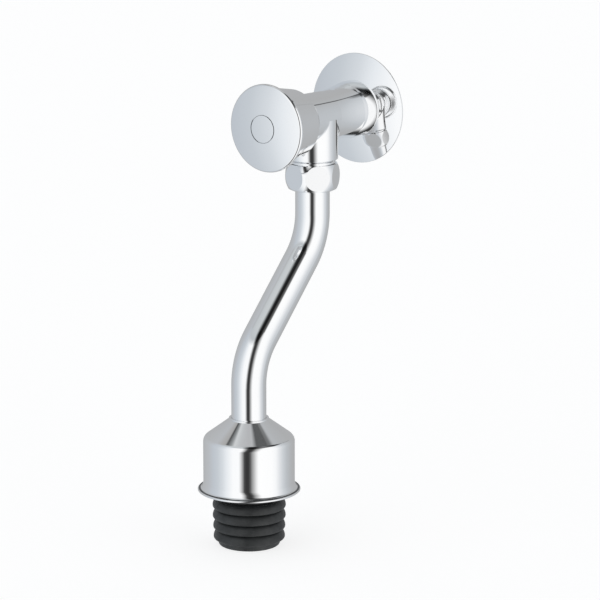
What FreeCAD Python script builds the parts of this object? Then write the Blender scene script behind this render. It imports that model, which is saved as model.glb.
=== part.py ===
import FreeCAD, Part

import math
import os

import Sketcher

# Urinal flush valve, in millimetres. The origin is on the barrel's axis at the wall plane.
# +Z is up, +Y goes into the wall and the push button faces -Y.
# "Out" in a name or a note is a distance from the wall plane along -Y.
SIZES = {
    # wall connection
    "nipple_radius": 10.48,
    "nipple_reach": 19.0,
    "nipple_engagement": 8.0,
    "nipple_bore": 7.0,
    "nipple_chamfer": 1.0,
    "nipple_relief": 0.9,
    "strainer_length": 14.0,
    "strainer_wall": 0.8,
    "flange_radius": 30.7,
    "flange_dome_radius": 97.0,
    "flange_sheet": 0.8,
    "flange_edge": 0.5,
    # body casting
    "barrel_radius": 13.5,
    "barrel_front_radius": 14.0,
    "trumpet_radius": 16.1,
    "trumpet_middle_radius": 15.1,
    "trumpet_rim_length": 9.5,
    "trumpet_cove_length": 19.7,
    "neck_radius": 16.9,
    "neck_length": 8.6,
    "shoulder_length": 4.6,
    "shoulder_split": 0.55,
    "body_front_out": 68.0,
    "body_bore": 10.0,
    "bonnet_bore": 14.0,
    "bonnet_bore_depth": 11.0,
    "gallery_radius": 11.3,
    "gallery_width": 12.0,
    # outlet branch
    "outlet_out": 42.1,
    "branch_radius": 14.1,
    "branch_drop": 24.4,
    "branch_foot_radius": 12.65,
    "branch_foot_height": 1.1,
    "branch_foot_bevel": 1.3,
    "branch_blend": 1.9,
    "outlet_thread_radius": 11.46,
    "outlet_thread_length": 10.7,
    "passage_radius": 6.0,
    "pipe_socket_depth": 8.5,
    # cartridge
    "sleeve_length": 29.5,
    "sleeve_flange": 2.0,
    "sleeve_bore": 7.6,
    "window_count": 4,
    "window_length": 8.0,
    "window_width": 5.0,
    "ring_section": 0.62,
    "ring_groove_width": 2.2,
    "ring_groove_inset": 4.9,
    "seat_ring_radius": 9.0,
    "seat_ring_height": 3.0,
    "seat_hole_radius": 6.0,
    "seat_lip": 0.6,
    # gland nut
    "gland_hex_flats": 27.0,
    "gland_hex_height": 3.2,
    "gland_spigot_radius": 12.4,
    "gland_spigot_length": 2.5,
    # spindle and its pieces
    "travel": 3.0,
    "spindle_radius": 3.0,
    "spindle_front_radius": 2.5,
    "spindle_tail_radius": 2.0,
    "collar_radius": 4.0,
    "collar_width": 1.5,
    "piston_width": 4.0,
    "piston_setback": 1.5,
    "piston_radius": 7.35,
    "lip_seal_width": 2.0,
    "lip_seal_root_radius": 5.2,
    "bleed_radius": 0.4,
    "bleed_offset": 4.5,
    "clip_width": 0.7,
    "clip_radius": 3.6,
    "washer_radius": 8.0,
    "washer_thickness": 2.65,
    "holder_wall": 0.8,
    "holder_base": 1.8,
    "holder_rim": 1.4,
    "holder_nut_flats": 7.0,
    "holder_nut_height": 3.2,
    "spring_radius": 5.0,
    "spring_wire": 0.45,
    "spring_turns": 8,
    # push button
    "skirt_overlap": 7.8,
    "skirt_edge_radius": 18.25,
    "skirt_gap": 0.35,
    "skirt_slope": 10.0,
    "skirt_flare_length": 2.9,
    "button_rim_radius": 23.9,
    "button_rim_out": 83.3,
    "button_rim_width": 0.9,
    "button_rim_round": 0.45,
    "button_edge_round": 1.4,
    "button_dome_radius": 95.0,
    "button_plate": 3.4,
    "button_hollow_radius": 21.0,
    "boss_radius": 5.5,
    "index_radius": 7.9,
    "index_thickness": 1.15,
    "index_gap": 0.25,
    "screw_head_radius": 3.3,
    "screw_head_height": 1.05,
    "screw_radius": 1.5,
    "screw_length": 6.5,
    "glide_ring_width": 3.0,
    "glide_ring_depth": 1.0,
    "glide_ring_inset": 2.5,
    # coupling nut
    "nut_flats": 27.0,
    "nut_corner_radius": 15.15,
    "nut_end_radius": 13.5,
    "nut_foot_radius": 11.6,
    "nut_foot_bevel": 0.8,
    "nut_height": 15.0,
    "nut_belly_drop": 6.9,
    "nut_floor": 1.5,
    "nut_turn": 48.4,
    "seal_thickness": 2.0,
    "slip_washer_thickness": 0.8,
    # flush pipe
    "pipe_radius": 9.5,
    "pipe_wall": 1.0,
    "pipe_upper_corner_drop": 66.6,
    "pipe_offset": 57.7,
    "pipe_slant": 45.0,
    "pipe_bend_radius": 34.5,
    "pipe_end_drop": 222.5,
    # cover, with its top above the pipe's end
    "cover_neck_radius": 10.9,
    "cover_neck_height": 1.3,
    "cover_top_rise": 66.2,
    "cover_cone_height": 9.4,
    "cover_radius": 24.8,
    "cover_shoulder_radius": 3.0,
    "cover_wall": 1.0,
    "cover_height": 40.9,
    "brim_radius": 28.0,
    "brim_height": 5.4,
    "brim_lip": 1.0,
    # rubber connector, with its rises above the pipe's end
    "rubber_overlap": 42.5,
    "rubber_top_radius": 14.5,
    "rubber_root_radius": 17.9,
    "rubber_root_rise": 22.5,
    "rubber_round": 1.0,
    "rib_count": 4,
    "rib_radius": 20.0,
    "rib_taper": 0.23,
    "rib_first_rise": 16.5,
    "rib_pitch": 6.07,
    "rib_foot": 4.2,
    "rib_land": 2.6,
    "rubber_tip_radius": 16.4,
    "rubber_tip_height": 1.6,
    "rubber_stop": 1.0,
    # clearances
    "fit_gap": 0.03,
    "running_gap": 0.06,
    "slide_gap": 0.1,
    "nut_gap": 0.2,
    "face_gap": 0.05,
    "free_gap": 0.3,
}


class Term:
    """A number together with the sheet formula that gives it."""

    def __init__(self, value, text):
        self.value = value
        self.text = text

    def __add__(self, other):
        other = term(other)
        return Term(self.value + other.value, f"({self.text} + {other.text})")

    def __sub__(self, other):
        other = term(other)
        return Term(self.value - other.value, f"({self.text} - {other.text})")

    def __mul__(self, other):
        other = term(other)
        return Term(self.value * other.value, f"({self.text} * {other.text})")

    def __truediv__(self, other):
        other = term(other)
        return Term(self.value / other.value, f"({self.text} / {other.text})")

    def __neg__(self):
        return Term(-self.value, f"(-1 * {self.text})")

    def __radd__(self, other):
        return term(other) + self

    def __rsub__(self, other):
        return term(other) - self

    def __rmul__(self, other):
        return term(other) * self


def term(number):
    return number if isinstance(number, Term) else Term(float(number), repr(float(number)))


def root(number):
    return Term(math.sqrt(number.value), f"sqrt({number.text})")


def tangent(angle):
    return Term(math.tan(math.radians(angle.value)), f"tan({angle.text} * 1 deg)")


def sine(angle):
    return Term(math.sin(math.radians(angle.value)), f"sin({angle.text} * 1 deg)")


def cosine(angle):
    return Term(math.cos(math.radians(angle.value)), f"cos({angle.text} * 1 deg)")


class Sizes:
    """The sheet's cells as terms: size.travel is the cell with the alias travel."""

    def __getattr__(self, alias):
        return Term(float(SIZES[alias]), f"sizes.{alias}")


size = Sizes()


def write_sheet(doc):
    sheet = doc.addObject("Spreadsheet::Sheet", "sizes")
    for row, (alias, number) in enumerate(SIZES.items(), start=1):
        sheet.set(f"A{row}", alias)
        sheet.set(f"B{row}", str(number))
        sheet.setAlias(f"B{row}", alias)
    doc.recompute()
    return sheet


# Arcs. An edge of an outline is straight, or an arc that stands out to the left or the right of its chord.


def left(radius):
    return (term(radius), 1)


def right(radius):
    return (term(radius), -1)


def rise_radius(length, rise):
    """The radius of an arc that starts along a length and has left it by the rise at its end."""
    return (length * length + rise * rise) / (2 * rise)


def arc_middle(start, end, radius, side):
    chord_x = end[0] - start[0]
    chord_y = end[1] - start[1]
    chord = math.hypot(chord_x, chord_y)
    height = radius - math.sqrt(radius**2 - (chord / 2) ** 2)
    middle_x = (start[0] + end[0]) / 2 - side * height * chord_y / chord
    middle_y = (start[1] + end[1]) / 2 + side * height * chord_x / chord
    return (middle_x, middle_y)


def vector(point):
    return FreeCAD.Vector(point[0], point[1], 0)


def bind(thing, name, value):
    thing.setExpression(name, term(value).text)


def new_sketch(body, name, role="YZ_Plane", offset=(0, 0, 0)):
    sketch = body.newObject("Sketcher::SketchObject", name)
    plane = [feature for feature in body.Origin.OriginFeatures if feature.Role == role][0]
    sketch.AttachmentSupport = [(plane, "")]
    sketch.MapMode = "FlatFace"
    for letter, value in zip("xyz", offset):
        if isinstance(value, Term):
            bind(sketch, f"AttachmentOffset.Base.{letter}", value)
    return sketch


def near_end(sketch, edge, point):
    """Which end of a sketch edge lies at a point: 1 is its start and 2 is its end."""
    start = sketch.getPoint(edge, 1)
    return 1 if start.distanceToPoint(vector(point)) < 1e-6 else 2


def constrain(sketch, value, *what):
    index = sketch.addConstraint(Sketcher.Constraint(*what, value.value))
    if value.text != repr(value.value):
        bind(sketch, f"Constraints[{index}]", value)


def add_edges(sketch, corners, closed=True):
    """Draw corners (x, y) or (x, y, arc) as joined edges, each corner bound to its formula."""
    places = [(term(corner[0]), term(corner[1])) for corner in corners]
    points = [(x.value, y.value) for x, y in places]
    count = len(corners) if closed else len(corners) - 1
    edges = []
    for number in range(count):
        start, end = points[number], points[(number + 1) % len(points)]
        if len(corners[number]) == 3:
            radius, side = corners[number][2]
            middle = arc_middle(start, end, radius.value, side)
            edge = sketch.addGeometry(Part.Arc(vector(start), vector(middle), vector(end)))
            constrain(sketch, radius, "Radius", edge)
        else:
            edge = sketch.addGeometry(Part.LineSegment(vector(start), vector(end)))
        edges.append(edge)
    for number, edge in enumerate(edges):
        end_point = near_end(sketch, edge, points[number])
        constrain(sketch, places[number][0], "DistanceX", -1, 1, edge, end_point)
        constrain(sketch, places[number][1], "DistanceY", -1, 1, edge, end_point)
        following = edges[(number + 1) % len(edges)]
        if closed or number < len(edges) - 1:
            joint = points[(number + 1) % len(points)]
            ends = (near_end(sketch, edge, joint), near_end(sketch, following, joint))
            sketch.addConstraint(Sketcher.Constraint("Coincident", edge, ends[0], following, ends[1]))
    if not closed:
        last_end = near_end(sketch, edges[-1], points[-1])
        constrain(sketch, places[-1][0], "DistanceX", -1, 1, edges[-1], last_end)
        constrain(sketch, places[-1][1], "DistanceY", -1, 1, edges[-1], last_end)
    return edges


def add_circle(sketch, x, y, radius):
    x, y, radius = term(x), term(y), term(radius)
    centre = FreeCAD.Vector(x.value, y.value, 0)
    circle = sketch.addGeometry(Part.Circle(centre, FreeCAD.Vector(0, 0, 1), radius.value))
    constrain(sketch, radius, "Radius", circle)
    constrain(sketch, x, "DistanceX", -1, 1, circle, 3)
    constrain(sketch, y, "DistanceY", -1, 1, circle, 3)


def hexagon(flats):
    """Corners of a hexagon of a given width across its flats, with its first corner on +X."""
    half_side = math.pi / 6
    corner = flats / 2 / math.cos(half_side)
    turns = [2 * half_side * number for number in range(6)]
    return [(corner * math.cos(turn), corner * math.sin(turn)) for turn in turns]


def outwards(corners):
    """Turn (distance out from the wall, radius) corners into sketch corners along the valve's axis."""
    return [(-term(corner[0]), *corner[1:]) for corner in corners]


def revolve(body, name, sketch, axis, removes):
    feature = body.newObject("PartDesign::Groove" if removes else "PartDesign::Revolution", name)
    feature.Profile = sketch
    feature.ReferenceAxis = (sketch, [axis])
    feature.Angle = 360
    return feature


def turn_out(body, name, corners, removes=False):
    """Turn an outline of (out, radius) corners about the valve's axis."""
    sketch = new_sketch(body, name + "_outline")
    add_edges(sketch, outwards(corners))
    return revolve(body, name, sketch, "H_Axis", removes)


def turn_up(body, name, corners, out=None, removes=False):
    """Turn an outline of (radius, height) corners about an upright axis."""
    offset = (0, 0, 0) if out is None else (-out, 0, 0)
    sketch = new_sketch(body, name + "_outline", offset=offset)
    add_edges(sketch, corners)
    return revolve(body, name, sketch, "V_Axis", removes)


def new_body(doc, name, out=None):
    """A body with its label. An upright piece is placed at its distance out from the wall."""
    body = doc.addObject("PartDesign::Body", name)
    body.Label = name
    if out is not None:
        bind(body, "Placement.Base.y", -out)
    return body


def pad(body, name, sketch, length):
    feature = body.newObject("PartDesign::Pad", name)
    feature.Profile = sketch
    bind(feature, "Length", length)
    return feature


def pocket(body, name, sketch, length, backwards=False):
    """Cut against the sketch's normal, or along it where backwards is set."""
    feature = body.newObject("PartDesign::Pocket", name)
    feature.Profile = sketch
    feature.Reversed = backwards
    bind(feature, "Length", length)
    return feature


def around(body, name, feature, axis, count):
    pattern = body.newObject("PartDesign::PolarPattern", name)
    pattern.Originals = [feature]
    pattern.Axis = axis
    pattern.Angle = 360
    bind(pattern, "Occurrences", count)
    body.Tip = pattern
    return pattern


# Places that more than one piece needs, out from the wall or down from the barrel's axis.


class Places:
    def __init__(self):
        dome = size.flange_dome_radius
        self.flange_dome_centre = size.flange_edge - root(dome * dome - size.flange_radius * size.flange_radius)
        self.flange_seat = self.dome_out(size.trumpet_radius)
        self.body_rear = self.flange_seat + size.face_gap
        self.nipple_end = self.body_rear + size.nipple_engagement
        self.shoulder_front = size.body_front_out - size.neck_length
        self.shoulder_rear = self.shoulder_front - size.shoulder_length
        self.bonnet_floor = size.body_front_out - size.bonnet_bore_depth
        self.sleeve_rear = self.bonnet_floor - size.sleeve_length
        self.sleeve_front = self.bonnet_floor + size.sleeve_flange
        self.seat_lip = self.sleeve_rear - size.seat_lip
        self.washer_front = self.seat_lip - size.face_gap
        self.washer_rear = self.washer_front - size.washer_thickness
        self.holder_rear = self.washer_rear - size.holder_base
        self.piston_front = self.sleeve_front - size.piston_setback
        self.piston_rear = self.piston_front - size.piston_width
        self.gland_rear = self.sleeve_front + size.face_gap
        self.gland_front = size.body_front_out + size.gland_hex_height
        self.boss_rear = self.gland_front + size.travel + size.free_gap
        self.skirt_rear = size.body_front_out - size.skirt_overlap
        self.dome_centre, self.dome_edge, self.dome_edge_radius = self.button_dome()
        self.dome_top = self.dome_centre + size.button_dome_radius
        self.plate_rear = self.dome_top - size.button_plate
        self.index_floor = self.dome_at(size.index_radius) - size.index_thickness
        self.screw_floor = self.index_floor - size.screw_head_height - size.face_gap
        self.spindle_front = self.plate_rear - size.face_gap
        self.thread_foot = -size.branch_drop - size.outlet_thread_length
        self.nut_top = -size.branch_drop - size.nut_gap
        self.nut_bottom = self.nut_top - size.nut_height
        self.nut_floor = self.nut_bottom + size.nut_floor
        self.socket_top = self.thread_foot + size.pipe_socket_depth

    def dome_out(self, radius):
        """How far out the wall flange's domed face lies at a radius."""
        dome = size.flange_dome_radius
        return self.flange_dome_centre + root(dome * dome - radius * radius)

    def button_dome(self):
        """The dome's centre, and the place where its rounded edge runs smoothly into it."""
        dome = size.button_dome_radius
        inner = dome - size.button_edge_round
        edge_centre = size.button_rim_radius - size.button_edge_round
        centre = size.button_rim_out - root(inner * inner - edge_centre * edge_centre)
        edge = centre + (size.button_rim_out - centre) * dome / inner
        return centre, edge, edge_centre * dome / inner

    def dome_at(self, radius):
        """How far out the push button's domed face lies at a radius."""
        dome = size.button_dome_radius
        return self.dome_centre + root(dome * dome - radius * radius)


place = Places()


def wall_flange(doc):
    """A thin domed plate that the body's shoulder holds against the wall."""
    body = new_body(doc, "wall_flange")
    hole = size.nipple_radius + size.free_gap
    seat = size.trumpet_radius
    inner_dome = size.flange_dome_radius - size.flange_sheet
    inner_edge = size.flange_radius - size.flange_sheet
    face = place.flange_seat
    back = face - size.flange_sheet
    turn_out(
        body,
        "plate",
        [
            (face, hole),
            (face, seat, right(size.flange_dome_radius)),
            (size.flange_edge, size.flange_radius),
            (0, size.flange_radius),
            (0, inner_edge, left(inner_dome)),
            (back, seat),
            (back, hole),
        ],
    )
    return body


def inlet_nipple(doc):
    """The threaded nipple between the supply in the wall and the body, at its thread's full diameter."""
    body = new_body(doc, "inlet_nipple")
    relief = size.nipple_radius - size.nipple_relief
    chamfered = size.nipple_radius - size.nipple_chamfer
    turn_out(
        body,
        "barrel",
        [
            (-size.nipple_reach, size.nipple_bore),
            (-size.nipple_reach, chamfered),
            (size.nipple_chamfer - size.nipple_reach, size.nipple_radius),
            (term(1), size.nipple_radius),
            (term(1) + size.nipple_relief, relief),
            (place.body_rear + size.nipple_relief, relief),
            (place.body_rear + size.nipple_relief, size.nipple_radius - size.fit_gap),
            (place.nipple_end, size.nipple_radius - size.fit_gap),
            (place.nipple_end, size.nipple_bore),
        ],
    )
    return body


def inlet_strainer(doc):
    """A thimble filter that sits in the nipple's mouth, with slots round its wall."""
    body = new_body(doc, "inlet_strainer")
    outer = size.nipple_bore - size.free_gap
    inner = outer - size.strainer_wall
    rim = size.nipple_bore + size.strainer_wall
    mouth = -size.nipple_reach
    closed_end = mouth + size.strainer_length
    turn_out(
        body,
        "thimble",
        [
            (mouth - size.strainer_wall, inner),
            (mouth - size.strainer_wall, rim),
            (mouth, rim),
            (mouth, outer),
            (closed_end, outer),
            (closed_end, 0),
            (closed_end - size.strainer_wall, 0),
            (closed_end - size.strainer_wall, inner),
        ],
    )
    sketch = new_sketch(body, "slot_outline", "XY_Plane")
    half_width = size.strainer_wall
    slot_rear = mouth + 2 * size.strainer_wall
    slot_front = closed_end - 2 * size.strainer_wall
    slot = [(-half_width, slot_rear), (half_width, slot_rear), (half_width, slot_front), (-half_width, slot_front)]
    add_edges(sketch, [(x, -out) for x, out in slot])
    cut = pocket(body, "slot", sketch, size.nipple_bore, backwards=True)
    around(body, "slots", cut, (sketch, ["V_Axis"]), term(8))
    return body


def body_outline():
    """The casting's outer form: trumpet at the wall, barrel, round shoulder and the neck under the button."""
    rim_end = place.body_rear + size.trumpet_rim_length
    cove_end = rim_end + size.trumpet_cove_length
    rim_rise = size.trumpet_radius - size.trumpet_middle_radius
    cove_rise = size.trumpet_middle_radius - size.barrel_radius
    shoulder_rise = size.neck_radius - size.barrel_front_radius
    cap_length = size.shoulder_length * size.shoulder_split
    cap_rise = shoulder_rise * size.shoulder_split
    foot_length = size.shoulder_length - cap_length
    foot_rise = shoulder_rise - cap_rise
    return [
        (place.body_rear, 0),
        (place.body_rear, size.trumpet_radius, left(rise_radius(size.trumpet_rim_length, rim_rise))),
        (rim_end, size.trumpet_middle_radius, right(rise_radius(size.trumpet_cove_length, cove_rise))),
        (cove_end, size.barrel_radius),
        (place.shoulder_rear, size.barrel_front_radius, right(rise_radius(foot_length, foot_rise))),
        (place.shoulder_rear + foot_length, size.neck_radius - cap_rise, left(rise_radius(cap_length, cap_rise))),
        (place.shoulder_front, size.neck_radius),
        (size.body_front_out, size.neck_radius),
        (size.body_front_out, 0),
    ]


def flipped(corners):
    """The same outline drawn along -Y, where arcs stand out on the other side."""
    turned = []
    for corner in corners:
        if len(corner) == 3:
            radius, side = corner[2]
            corner = (corner[0], corner[1], (radius, -side))
        turned.append(corner)
    return turned


def branch_edges(shape):
    """The edges where the outlet branch leaves the barrel."""
    reach = SIZES["branch_radius"]
    out = SIZES["outlet_out"]
    names = []
    for number, edge in enumerate(shape.Edges, start=1):
        points = edge.discretize(9)
        on_branch = all(abs(math.hypot(p.x, p.y + out) - reach) < 1e-3 for p in points)
        heights = [p.z for p in points]
        if on_branch and max(heights) - min(heights) > 0.2 and max(heights) < -1:
            names.append(f"Edge{number}")
    return names


def valve_body(doc):
    """The casting: barrel, head and outlet branch, bored for the cartridge."""
    body = new_body(doc, "valve_body")
    turn_out(body, "casting", flipped(body_outline()))
    foot_top = size.branch_foot_height - size.branch_drop
    bevel_top = foot_top + size.branch_foot_bevel
    branch = turn_up(
        body,
        "branch",
        [
            (0, 0),
            (size.branch_radius, 0),
            (size.branch_radius, bevel_top),
            (size.branch_foot_radius, foot_top),
            (size.branch_foot_radius, -size.branch_drop),
            (size.outlet_thread_radius, -size.branch_drop),
            (size.outlet_thread_radius, place.thread_foot),
            (0, place.thread_foot),
        ],
        out=size.outlet_out,
    )
    doc.recompute()
    blend = body.newObject("PartDesign::Fillet", "branch_blend")
    blend.Base = (branch, branch_edges(branch.Shape))
    bind(blend, "Radius", size.branch_blend)
    half_gallery = size.gallery_width / 2
    turn_out(
        body,
        "main_bore",
        [
            (place.body_rear - 1, 0),
            (place.body_rear - 1, size.nipple_radius),
            (place.nipple_end, size.nipple_radius),
            (place.nipple_end, size.body_bore),
            (size.outlet_out - half_gallery, size.body_bore),
            (size.outlet_out - half_gallery, size.gallery_radius),
            (size.outlet_out + half_gallery, size.gallery_radius),
            (size.outlet_out + half_gallery, size.body_bore),
            (place.bonnet_floor, size.body_bore),
            (place.bonnet_floor, size.bonnet_bore),
            (size.body_front_out + 1, size.bonnet_bore),
            (size.body_front_out + 1, 0),
        ],
        removes=True,
    )
    socket = size.pipe_radius + size.running_gap
    turn_up(
        body,
        "outlet_passage",
        [
            (0, -size.passage_radius),
            (size.passage_radius, -size.passage_radius),
            (size.passage_radius, place.socket_top),
            (socket, place.socket_top),
            (socket, place.thread_foot - 1),
            (0, place.thread_foot - 1),
        ],
        out=size.outlet_out,
        removes=True,
    )
    groove_front = size.body_front_out - size.glide_ring_inset
    groove_rear = groove_front - size.glide_ring_width
    groove_root = size.neck_radius - size.glide_ring_depth
    turn_out(
        body,
        "glide_groove",
        [
            (groove_rear, groove_root),
            (groove_rear, size.neck_radius + 1),
            (groove_front, size.neck_radius + 1),
            (groove_front, groove_root),
        ],
        removes=True,
    )
    return body


def glide_ring(doc):
    """A plastic ring in the neck's groove, on which the button's skirt runs."""
    body = new_body(doc, "glide_ring")
    front = size.body_front_out - size.glide_ring_inset - size.face_gap
    rear = front - size.glide_ring_width + 2 * size.face_gap
    inner = size.neck_radius - size.glide_ring_depth + size.fit_gap
    outer = size.neck_radius + size.skirt_gap - size.running_gap
    turn_out(body, "ring", [(rear, inner), (rear, outer), (front, outer), (front, inner)])
    return body


def ring_grooves():
    """Where the sleeve's two ring grooves start, out from the wall."""
    rear = place.sleeve_rear + size.ring_groove_inset
    front = place.bonnet_floor - size.ring_groove_inset - size.ring_groove_width + size.free_gap
    return (rear, front)


def groove_root():
    return size.body_bore - 2 * size.ring_section - size.face_gap


def cartridge_sleeve(doc):
    """The sleeve that holds the seat and the dashpot, with windows facing the outlet gallery."""
    body = new_body(doc, "cartridge_sleeve")
    outer = size.body_bore - size.fit_gap
    pocket_end = place.sleeve_rear + size.seat_ring_height
    turn_out(
        body,
        "tube",
        [
            (place.sleeve_rear, size.seat_ring_radius),
            (place.sleeve_rear, outer),
            (place.bonnet_floor, outer),
            (place.bonnet_floor, size.bonnet_bore - size.fit_gap),
            (place.sleeve_front, size.bonnet_bore - size.fit_gap),
            (place.sleeve_front, size.sleeve_bore),
            (pocket_end, size.sleeve_bore),
            (pocket_end, size.seat_ring_radius),
        ],
    )
    for number, start in enumerate(ring_grooves(), start=1):
        end = start + size.ring_groove_width
        turn_out(
            body,
            f"ring_groove_{number}",
            [(start, groove_root()), (start, outer + 1), (end, outer + 1), (end, groove_root())],
            removes=True,
        )
    sketch = new_sketch(body, "window_outline", "XY_Plane")
    half_width = size.window_width / 2
    straight = (size.window_length - size.window_width) / 2
    rear = straight - size.outlet_out
    front = -size.outlet_out - straight
    add_edges(
        sketch,
        [
            (-half_width, rear, left(half_width * 1.0001)),
            (half_width, rear),
            (half_width, front, left(half_width * 1.0001)),
            (-half_width, front),
        ],
    )
    window = pocket(body, "window", sketch, size.body_bore, backwards=True)
    around(body, "windows", window, (sketch, ["V_Axis"]), size.window_count)
    return body


def torus(doc, name, out, ring_radius, section):
    """A rubber ring about the valve's axis."""
    ring = doc.addObject("Part::Torus", name)
    bind(ring, "Radius1", ring_radius)
    bind(ring, "Radius2", section)
    ring.Placement = FreeCAD.Placement(FreeCAD.Vector(0, 0, 0), FreeCAD.Rotation(FreeCAD.Vector(1, 0, 0), 90))
    bind(ring, "Placement.Base.y", -out)
    return ring


def cartridge_o_rings(doc):
    """The two rings that seal the sleeve on each side of the outlet gallery."""
    rings = []
    for number, start in enumerate(ring_grooves(), start=1):
        middle = start + size.ring_groove_width / 2
        radius = groove_root() + size.ring_section + size.face_gap / 2
        rings.append(torus(doc, f"sleeve_ring_{number}", middle, radius, size.ring_section))
    pair = doc.addObject("Part::Compound", "cartridge_o_rings")
    pair.Label = "cartridge_o_rings"
    pair.Links = rings
    return pair


def seat_ring(doc):
    """The valve's seat, a ring with a raised lip towards the supply."""
    body = new_body(doc, "seat_ring")
    front = place.sleeve_rear + size.seat_ring_height - size.face_gap
    outer = size.seat_ring_radius - size.fit_gap
    lip_inner = size.seat_hole_radius + size.seat_lip / 2
    turn_out(
        body,
        "ring",
        [
            (front, size.seat_hole_radius),
            (front, outer),
            (place.sleeve_rear, outer),
            (place.sleeve_rear, lip_inner + 2 * size.seat_lip),
            (place.seat_lip, lip_inner + size.seat_lip),
            (place.seat_lip, lip_inner),
            (place.sleeve_rear - size.seat_lip / 2, size.seat_hole_radius),
        ],
    )
    return body


def gland_nut(doc):
    """The nut that closes the body, holds the cartridge down and guides the spindle."""
    body = new_body(doc, "gland_nut")
    thread = size.bonnet_bore - size.slide_gap
    spigot_end = place.gland_rear + size.gland_spigot_length
    turn_out(
        body,
        "plug",
        [
            (place.gland_rear, 0),
            (place.gland_rear, size.gland_spigot_radius),
            (spigot_end, size.gland_spigot_radius),
            (spigot_end, thread),
            (size.body_front_out + size.face_gap, thread),
            (size.body_front_out + size.face_gap, 0),
        ],
    )
    sketch = new_sketch(body, "hex_outline", "XZ_Plane", offset=(0, 0, size.body_front_out + size.face_gap))
    add_edges(sketch, hexagon(size.gland_hex_flats))
    pad(body, "hex", sketch, size.gland_hex_height - size.face_gap)
    bore = size.spindle_radius + size.running_gap
    ring_start = spigot_end
    ring_end = ring_start + size.ring_groove_width
    ring_root = bore + 2 * size.ring_section
    turn_out(
        body,
        "spindle_bore",
        [
            (place.gland_rear - 1, 0),
            (place.gland_rear - 1, bore),
            (ring_start, bore),
            (ring_start, ring_root),
            (ring_end, ring_root),
            (ring_end, bore),
            (place.gland_front + 1, bore),
            (place.gland_front + 1, 0),
        ],
        removes=True,
    )
    return body


def gland_o_ring(doc):
    """The ring that seals the spindle in the gland nut."""
    middle = place.gland_rear + size.gland_spigot_length + size.ring_groove_width / 2
    radius = size.spindle_radius + size.running_gap + size.ring_section
    ring = torus(doc, "gland_o_ring", middle, radius, size.ring_section - size.face_gap / 2)
    ring.Label = "gland_o_ring"
    return ring


def bonnet_seal(doc):
    """The ring that seals the gland nut against the body."""
    section = (size.bonnet_bore - size.gland_spigot_radius - size.face_gap) / 2
    radius = (size.bonnet_bore + size.gland_spigot_radius) / 2
    ring = torus(doc, "bonnet_seal", place.gland_rear + section + size.face_gap, radius, section)
    ring.Label = "bonnet_seal"
    return ring


def spindle(doc):
    """The spindle, from the washer on the supply side to the push button."""
    body = new_body(doc, "spindle")
    tail = place.holder_rear - size.holder_nut_height - size.clip_width
    collar_rear = place.piston_rear - size.collar_width
    clip_rear = place.piston_front + size.face_gap
    clip_front = clip_rear + size.clip_width
    clip_root = size.spindle_radius - size.clip_width
    turn_out(
        body,
        "rod",
        [
            (tail, 0),
            (tail, size.spindle_tail_radius - size.clip_width / 2),
            (tail + size.clip_width / 2, size.spindle_tail_radius),
            (place.washer_front, size.spindle_tail_radius),
            (place.washer_front, size.spindle_radius),
            (collar_rear, size.spindle_radius),
            (collar_rear, size.collar_radius),
            (place.piston_rear, size.collar_radius),
            (place.piston_rear, size.spindle_radius),
            (clip_rear, size.spindle_radius),
            (clip_rear, clip_root),
            (clip_front, clip_root),
            (clip_front, size.spindle_radius),
            (place.boss_rear, size.spindle_radius),
            (place.boss_rear, size.spindle_front_radius),
            (place.spindle_front, size.spindle_front_radius),
            (place.spindle_front, 0),
        ],
    )
    hole_end = place.screw_floor - size.screw_length - size.clip_width
    hole = size.screw_radius + size.fit_gap
    turn_out(
        body,
        "tapped_hole",
        [(hole_end, 0), (hole_end, hole), (place.spindle_front + 1, hole), (place.spindle_front + 1, 0)],
        removes=True,
    )
    return body


def piston(doc):
    """The dashpot's piston, with a groove for its lip seal and a bleed hole."""
    body = new_body(doc, "piston")
    bore = size.spindle_radius + size.fit_gap
    margin = (size.piston_width - size.lip_seal_width) / 2
    groove_rear = place.piston_rear + margin
    groove_front = place.piston_front - margin
    turn_out(
        body,
        "disc",
        [
            (place.piston_rear + size.face_gap, bore),
            (place.piston_rear + size.face_gap, size.piston_radius),
            (groove_rear, size.piston_radius),
            (groove_rear, size.lip_seal_root_radius),
            (groove_front, size.lip_seal_root_radius),
            (groove_front, size.piston_radius),
            (place.piston_front, size.piston_radius),
            (place.piston_front, bore),
        ],
    )
    sketch = new_sketch(body, "bleed_outline", "XZ_Plane", offset=(0, 0, place.piston_front))
    add_circle(sketch, size.bleed_offset, 0, size.bleed_radius)
    pocket(body, "bleed_hole", sketch, size.piston_width)
    return body


def piston_lip_seal(doc):
    """The lip seal: it folds in on the way in and spreads on the way back."""
    body = new_body(doc, "piston_lip_seal")
    margin = (size.piston_width - size.lip_seal_width) / 2
    rear = place.piston_rear + margin + size.face_gap
    front = place.piston_front - margin - size.face_gap
    inner = size.lip_seal_root_radius + size.fit_gap
    outer = size.sleeve_bore - size.running_gap
    middle = (inner + outer) / 2
    heel = outer - size.free_gap
    half_lip = size.face_gap * 8
    turn_out(
        body,
        "ring",
        [
            (rear, inner),
            (rear, heel),
            (front, outer),
            (front, outer - half_lip),
            ((rear + front) / 2, middle),
            (front, inner + half_lip),
            (front, inner),
        ],
    )
    return body


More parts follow.
